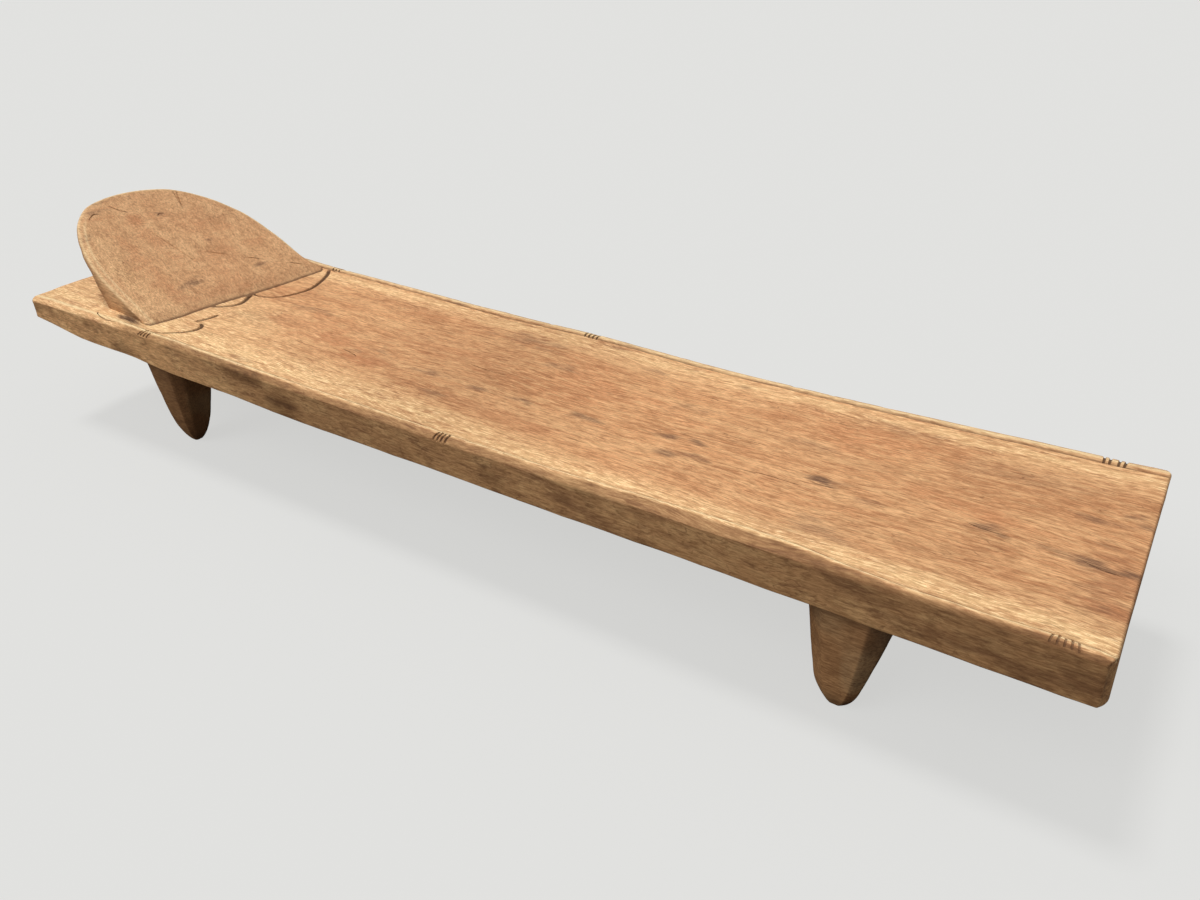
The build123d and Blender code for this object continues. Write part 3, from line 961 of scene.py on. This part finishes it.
def rounded_octagon(count, corner, softness, seed):
    """Eight-sided outline within -1 to 1: hand-cut corners, slightly rounded."""
    rng = np.random.default_rng(seed)
    cuts = corner * (1 + 0.25 * rng.uniform(-1, 1, 4))
    corners = []
    for cut, (sx, sy) in zip(cuts, ((1, 1), (-1, 1), (-1, -1), (1, -1))):
        pair = [(sx, sy * (1 - cut)), (sx * (1 - cut), sy)]
        corners += pair if sx * sy > 0 else pair[::-1]
    line = evenly(np.array(corners + corners[:1]), FINER * count, endpoint=False)
    width = int(softness * FINER * count)
    kernel = np.hanning(width + 2)
    kernel /= kernel.sum()
    wrapped = np.vstack([line[-width:], line, line[:width]])
    rounded = np.stack([np.convolve(values, kernel, "same") for values in wrapped.T], axis=1)
    return rounded[width:-width:FINER]


def make_leg(node, taper, belly, tip_shift, wider, shift, seed):
    """Bullet-shaped leg between the underside of the deck and the floor."""
    low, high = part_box(node)
    centre = (low + high) / 2
    half = np.array([high.x - low.x + wider * MM, high.y - low.y]) / 2
    outline = half * rounded_octagon(LEG_AROUND, LEG_CORNER, LEG_SOFTNESS, seed)
    top = high.z + LEG_SUNK
    rings = []
    for z in top * np.linspace(1, 0, LEG_LEVELS) ** 1.25:
        down = np.clip((high.z - z) / high.z, 0, 1)
        rounding = np.clip((down - LEG_ROUND_START) / (1 - LEG_ROUND_START), 0, 1)
        closing = math.sqrt(1 - (1 - LEG_PAD**2) * rounding**2)
        flare = LEG_FLARE * math.exp(-(((high.z - z) / FLARE_REACH) ** 2))
        middle = np.array([centre.x + shift * MM, centre.y]) + np.array(tip_shift) * MM * down**1.5
        ring = middle + outline * ((1 - taper * down**belly) * closing + flare)
        rings.append(np.column_stack([ring, np.full(LEG_AROUND, z)]))
    pad = rings[-1]
    pad_centre = pad.mean(axis=0)
    rings += [pad_centre + (pad - pad_centre) * share for share in (0.66, 0.33)]
    piece = new_piece(node + "_carved", *closed_rings(rings, (centre.x, centre.y, top), pad_centre))
    outward(piece)

    co, normals = surface(piece)
    relief = 1.4 * (0.45 - adze(co + seed, (0.03, 0.03, 0.05), 90 + seed))
    relief += layered(co, ((0.7, (0.04, 0.04, 0.07), 91 + seed), (0.25, (0.01, 0.01, 0.015), 92)))
    settle = smooth(0, 12 * MM, co[:, 2]) * smooth(0, 4 * MM, high.z - co[:, 2] + 4 * MM)
    moved = co + normals * (MM * relief * settle)[:, None]
    moved[:, 2] = np.clip(moved[:, 2], 0, None)
    place_vertices(piece, moved)
    return piece, high.z


def mark_leg(piece, top, shade):
    """Stores where a leg is worn or reddish, darker near the floor, and its painted shadow and shade."""
    co, normals = surface(piece)
    # Painted shade on the faces turned to the foot end
    toward_foot = smooth(0.0, 0.35, normals[:, 0])
    # Painted shadow of the deck over the leg's top, and darker near the floor
    deck_shadow_and_low_dark = 0.30 * smooth(40 * MM, 0, co[:, 2]) + 0.36 * smooth(top - 75 * MM, top, co[:, 2])
    mark(
        piece,
        flank=np.ones(len(co)),
        dirt=deck_shadow_and_low_dark,
        wear=0.12 * smooth(0.1, 0.6, noise(co, (0.05, 0.05, 0.08), 95)),
        pale=np.zeros(len(co)),
        stain=np.zeros(len(co)),
        red=0.4 * smooth(0.0, 0.7, noise(co, (0.06, 0.06, 0.06), 96)),
        shade=shade * (1 - 1.3 * toward_foot) + 0.10 * noise(co, (0.05, 0.05, 0.06), 97),
    )


# ---- materials
def colour(red, green, blue):
    """A colour given as it looks on screen, 0 to 255, turned into the linear values of a shader."""
    channels = []
    for value in (red, green, blue):
        c = value / 255
        channels.append(c / 12.92 if c <= 0.04045 else ((c + 0.055) / 1.055) ** 2.4)
    return (*channels, 1.0)


DARKEST, LIGHTEST = (0.42, 0.38, 0.34), (1.58, 1.62, 1.66)
CREAM = colour(243, 203, 148)
BRIGHT_CREAM = colour(255, 230, 178)
RED_BROWN = colour(190, 122, 80)
DEEP_BROWN = colour(118, 76, 48)
STAIN = colour(114, 82, 62)
# Colour of dirt and of painted shade
GRIME_AND_PAINTED_SHADE = colour(74, 46, 28)
# Mid, light, dark and red tones, as they look on screen; a raw flank has no red one
DECK_TONES = ((219, 162, 113), (236, 187, 135), (184, 127, 84), (214, 147, 100))
PANEL_TONES = ((213, 164, 118), (226, 180, 132), (186, 137, 95), (205, 148, 104))
FLANK_TONES = ((203, 155, 106), (226, 180, 126), (150, 108, 72))
LEG_TONES = ((180, 134, 90), (194, 147, 100), (150, 108, 70), (168, 118, 78))
WOOD_SPECULAR = 0.22


class Graph:
    """Short names for building a node tree."""

    def __init__(self, tree):
        self.tree = tree

    def node(self, kind, inputs, **settings):
        made = self.tree.nodes.new("ShaderNode" + kind)
        for key, value in settings.items():
            setattr(made, key, value)
        for key, value in inputs.items():
            self.feed(made.inputs[key], value)
        return made

    def feed(self, socket, value):
        if isinstance(value, bpy.types.NodeSocket):
            self.tree.links.new(value, socket)
        else:
            socket.default_value = value

    def pattern(self, vector, scale, detail, roughness, shift=(0, 0, 0), distortion=0.0):
        """Noise over the given coordinates, scaled along each axis."""
        scaled = self.node("Mapping", {"Vector": vector, "Scale": scale, "Location": shift}).outputs[0]
        inputs = {"Vector": scaled, "Scale": 1.0, "Detail": detail, "Roughness": roughness}
        return self.node("TexNoise", {**inputs, "Distortion": distortion}).outputs["Fac"]

    def ramp(self, value, low, high, to_low=0.0, to_high=1.0):
        """Maps low..high onto to_low..to_high, smoothly and within bounds."""
        inputs = {"Value": value, "From Min": low, "From Max": high, "To Min": to_low, "To Max": to_high}
        return self.node("MapRange", inputs, interpolation_type="SMOOTHSTEP").outputs["Result"]

    def maths(self, operation, *values):
        return self.node("Math", dict(enumerate(values)), operation=operation).outputs[0]

    def mix(self, share, a, b, blend="MIX"):
        """Mixes two colours; share, a and b are numbers, colours or sockets."""
        inputs = {"Factor": share, "A": a, "B": b}
        return self.node("Mix", inputs, data_type="RGBA", blend_type=blend).outputs["Result"]

    def layers(self, base, layers):
        """Mixes each layer over base: its pattern, where it starts and is full, its share and colour."""
        for pattern, start, full, share, tone in layers:
            base = self.mix(self.ramp(pattern, start, full, 0.0, share), base, tone)
        return base

    def attribute(self, name, *ramp):
        """A value stored at the vertices, broken up by a ramp if what it takes is given."""
        value = self.node("Attribute", {}, attribute_name=name).outputs["Fac"]
        return self.maths("MULTIPLY", value, self.ramp(*ramp)) if ramp else value

    def tinted(self, base, value, low, high, to_low, to_high):
        """Multiplies base by a colour that runs from to_low to to_high as value goes low to high."""
        channels = zip(("Red", "Green", "Blue"), to_low, to_high)
        inputs = {key: self.ramp(value, low, high, a, b) for key, a, b in channels}
        return self.mix(1.0, base, self.node("CombineColor", inputs).outputs[0], "MULTIPLY")


def new_material(name):
    """A new material and the graph of its nodes."""
    material = bpy.data.materials.new(name)
    material.use_nodes = True
    return material, Graph(material.node_tree)


def weathered_wood(name, tones, flank_tones, mottle):
    """Old unvarnished hardwood, fibres along X: figure, streaks, pores, stains, wear, painted shading.

    tones are the mid, light, dark and red colours of a handled face, flank_tones the mid, light
    and dark of a raw side, and mottle how strongly blotches cross the streaks, from 0 to 1.
    """
    material, g = new_material(name)
    place = g.node("TexCoord", {}).outputs["Object"]
    sway = g.pattern(place, (3, 6, 6), 2, 0.5)
    across, upward = g.maths("MULTIPLY", sway, 0.05), g.maths("MULTIPLY", sway, 0.03)
    shift = g.node("CombineXYZ", {"Y": across, "Z": upward}).outputs[0]
    bent = g.node("VectorMath", {0: place, 1: shift}, operation="ADD").outputs[0]
    figure = g.pattern(bent, (3, 26, 26), 4, 0.55)
    streak = g.pattern(bent, (16, 115, 115), 6, 0.72)
    grain = g.pattern(bent, (30, 230, 230), 4, 0.70)
    fine = g.pattern(bent, (55, 420, 420), 4, 0.68)
    fibre = g.pattern(bent, (150, 1000, 1000), 2, 0.6)
    pore = g.pattern(bent, (60, 380, 380), 2, 0.5)
    check = g.pattern(bent, (10, 46, 46), 2, 0.5)
    patch = g.pattern(place, (4, 9, 9), 4, 0.55, (3, 1, 2))
    cloud = g.pattern(place, (6, 18, 18), 5, 0.6, (7, 4, 9))
    blotch = g.pattern(place, (18, 40, 40), 5, 0.62, (1, 5, 4))
    tool = g.pattern(place, (60, 95, 95), 4, 0.6, (2, 3, 1), 0.8)

    mid, light, dark, red = (colour(*tone) for tone in tones)
    face = g.layers(mid, (
        (figure, 0.46, 0.64, 0.6, light),
        (patch, 0.50, 0.66, 0.55, red),
        (cloud, 0.50, 0.62, 0.35, dark),
        (streak, 0.53, 0.61, 0.65, light),
        (streak, 0.46, 0.38, 0.75, dark),
        (blotch, 0.50, 0.66, 0.7 * mottle, dark),
        (blotch, 0.47, 0.34, 0.7 * mottle, light),
        (grain, 0.54, 0.63, 0.55, light),
        (grain, 0.46, 0.37, 0.65, dark),
    ))
    face = g.mix(g.attribute("pale", streak, 0.38, 0.58, 0.30, 0.95), face, CREAM)
    face = g.mix(g.attribute("pale", fine, 0.51, 0.66, 0.0, 0.8), face, BRIGHT_CREAM)
    face = g.mix(g.attribute("red", streak, 0.36, 0.58, 0.4, 0.8), face, RED_BROWN)

    mid, light, dark = (colour(*tone) for tone in flank_tones)
    flank = g.layers(mid, (
        (blotch, 0.49, 0.63, 0.85, light),
        (cloud, 0.49, 0.37, 0.8, dark),
        (tool, 0.54, 0.68, 0.6, dark),
        (streak, 0.53, 0.66, 0.65, light),
        (streak, 0.47, 0.34, 0.65, dark),
        (grain, 0.55, 0.70, 0.5, light),
        (grain, 0.45, 0.30, 0.6, dark),
    ))
    body = g.mix(g.attribute("flank"), face, flank)
    # How light each place is painted: uneven tone, and painted light and shade
    body = g.tinted(body, g.attribute("shade"), 0.0, 1.0, DARKEST, LIGHTEST)
    body = g.tinted(body, fine, 0.34, 0.66, (0.76, 0.73, 0.70), (1.20, 1.22, 1.24))
    body = g.tinted(body, fibre, 0.3, 0.7, (0.95, 0.94, 0.93), (1.05, 1.05, 1.06))
    body = g.layers(body, ((pore, 0.66, 0.74, 0.4, DEEP_BROWN),))
    split = g.maths("ABSOLUTE", g.maths("SUBTRACT", check, 0.5))
    crack = g.maths("MULTIPLY", g.ramp(split, 0.010, 0.003), g.ramp(cloud, 0.52, 0.62, 0.0, 0.45))
    body = g.mix(crack, body, DEEP_BROWN)
    body = g.mix(g.attribute("stain", fine, 0.66, 0.40, 0.5, 0.95), body, STAIN)
    # Wear, and painted highlights along the head panel's ridge and front edge
    body = g.mix(g.attribute("wear", fine, 0.36, 0.58, 0.4, 1.0), body, BRIGHT_CREAM)
    # Dirt in cuts, and painted shade in hollows, at creases, on shaded edges and under the deck
    body = g.mix(g.maths("MULTIPLY", g.attribute("dirt"), 0.9), body, GRIME_AND_PAINTED_SHADE)

    height = g.maths("MULTIPLY", fine, 0.7)
    for pattern, share in ((fibre, 0.3), (tool, 0.5), (streak, 0.6), (crack, -1.2)):
        height = g.maths("MULTIPLY_ADD", pattern, share, height)
    relief = g.node("Bump", {"Height": height, "Strength": 0.6, "Distance": 0.0007})
    shader = material.node_tree.nodes["Principled BSDF"]
    g.feed(shader.inputs["Base Color"], body)
    g.feed(shader.inputs["Roughness"], g.ramp(streak, 0.3, 0.7, 0.64, 0.80))
    g.feed(shader.inputs["Normal"], relief.outputs["Normal"])
    shader.inputs["Specular IOR Level"].default_value = WOOD_SPECULAR
    return material


# ---- stage, lights, camera
BACKGROUND = colour(225, 225, 223)
WORLD_STRENGTH = 0.34
SHADOW_SHARE = 0.21
FLOOR_BOUNCE = (0.16, 0.15, 0.14, 1.0)
FLOOR_REACH = 60.0
# Each lamp: strength, spread in degrees, and the direction that its light comes from
LAMPS = {
    "key": (1.60, 13, (-0.30, 0.0, 1.0)),
    "side": (0.90, 35, (-0.35, -0.90, 0.90)),
}
CAMERA_PLACE = (0.9953, -1.1661, 0.9248)
CAMERA_PITCH, CAMERA_YAW = math.radians(61.2707), math.radians(33.5217)
CAMERA_LENS, SENSOR_WIDTH, CLIP_END = 28.785, 36.0, 200.0


def make_floor():
    """Wide pale floor; the camera sees a part of its colour unshaded, so its shadow stays light."""
    corners = [(x * FLOOR_REACH, y * FLOOR_REACH, 0) for x, y in ((-1, -1), (1, -1), (1, 1), (-1, 1))]
    floor = new_piece("floor", corners, [(0, 1, 2, 3)])
    material, g = new_material("floor_pale")
    g.tree.nodes.clear()
    seen = g.node("LightPath", {}).outputs["Is Camera Ray"]
    plain = g.node("BsdfDiffuse", {"Color": g.mix(seen, FLOOR_BOUNCE, BACKGROUND)}).outputs[0]
    unshaded = g.node("Emission", {"Color": BACKGROUND}).outputs[0]
    share = g.maths("MULTIPLY", seen, 1 - SHADOW_SHARE)
    g.node("OutputMaterial", {0: g.node("MixShader", {0: share, 1: plain, 2: unshaded}).outputs[0]})
    floor.data.materials.append(material)


def make_world():
    """Soft even light from all round; the camera sees it as the background colour."""
    world = bpy.data.worlds.new("studio")
    bpy.context.scene.world = world
    world.use_nodes = True
    g = Graph(world.node_tree)
    light = g.tree.nodes["Background"]
    light.inputs["Color"].default_value = (1, 1, 1, 1)
    light.inputs["Strength"].default_value = WORLD_STRENGTH
    seen = g.node("LightPath", {}).outputs["Is Camera Ray"]
    background = g.node("Background", {"Color": BACKGROUND}).outputs[0]
    mix = g.node("MixShader", {0: seen, 1: light.outputs[0], 2: background}).outputs[0]
    g.feed(g.tree.nodes["World Output"].inputs[0], mix)


def make_lamps():
    """A soft overhead lamp that leans to the head end, and a wide one from the near side."""
    for name, (strength, spread, direction) in LAMPS.items():
        lamp = bpy.data.lights.new(name, "SUN")
        lamp.energy = strength
        lamp.angle = math.radians(spread)
        sun = bpy.data.objects.new(name, lamp)
        sun.rotation_euler = Vector(direction).to_track_quat("Z", "Y").to_euler()
        bpy.context.scene.collection.objects.link(sun)


def make_camera():
    data = bpy.data.cameras.new("camera")
    data.sensor_fit = "HORIZONTAL"
    data.sensor_width = SENSOR_WIDTH
    data.lens = CAMERA_LENS
    data.clip_end = CLIP_END
    camera = bpy.data.objects.new("camera", data)
    camera.location = CAMERA_PLACE
    camera.rotation_euler = (CAMERA_PITCH, 0.0, CAMERA_YAW)
    bpy.context.scene.collection.objects.link(camera)
    bpy.context.scene.camera = camera
    bpy.context.scene.view_settings.view_transform = "Standard"


# ---- assembly
# Each leg: taper, belly (above 1 keeps it full near the deck), shift of its tip, and in millimetres
# how much wider it is than the CAD's and how far over; then its shade and seed
# The head legs' lower shade is painted shadow under the deck
LEGS = {
    "leg_head_left": (0.62, 1.20, (2.0, 0.0), 2.0, 0.0, 0.30, 1),
    "leg_head_right": (0.60, 1.25, (5.0, 0.0), 7.0, -2.5, 0.27, 2),
    "leg_foot_left": (0.62, 1.20, (-2.0, 0.0), 4.0, 0.0, 0.46, 3),
    "leg_foot_right": (0.59, 1.20, (-5.0, -5.0), 6.0, 2.2, 0.45, 4),
}

deck_wood = weathered_wood("deck_wood", DECK_TONES, FLANK_TONES, 0.5)
headrest_wood = weathered_wood("headrest_wood", PANEL_TONES, FLANK_TONES, 0.85)
leg_wood = weathered_wood("leg_wood", LEG_TONES, LEG_TONES[:3], 0.6)

deck = make_deck()
mark_deck(deck)
finish_piece(deck, "deck", deck_wood)

headrest = make_headrest()
mark_headrest(headrest)
finish_piece(headrest, "headrest", headrest_wood)

for node, (taper, belly, tip_shift, wider, shift, leg_shade, seed) in LEGS.items():
    leg, leg_top = make_leg(node, taper, belly, tip_shift, wider, shift, seed)
    mark_leg(leg, leg_top, leg_shade)
    finish_piece(leg, node, leg_wood)

make_floor()
make_world()
make_lamps()
make_camera()
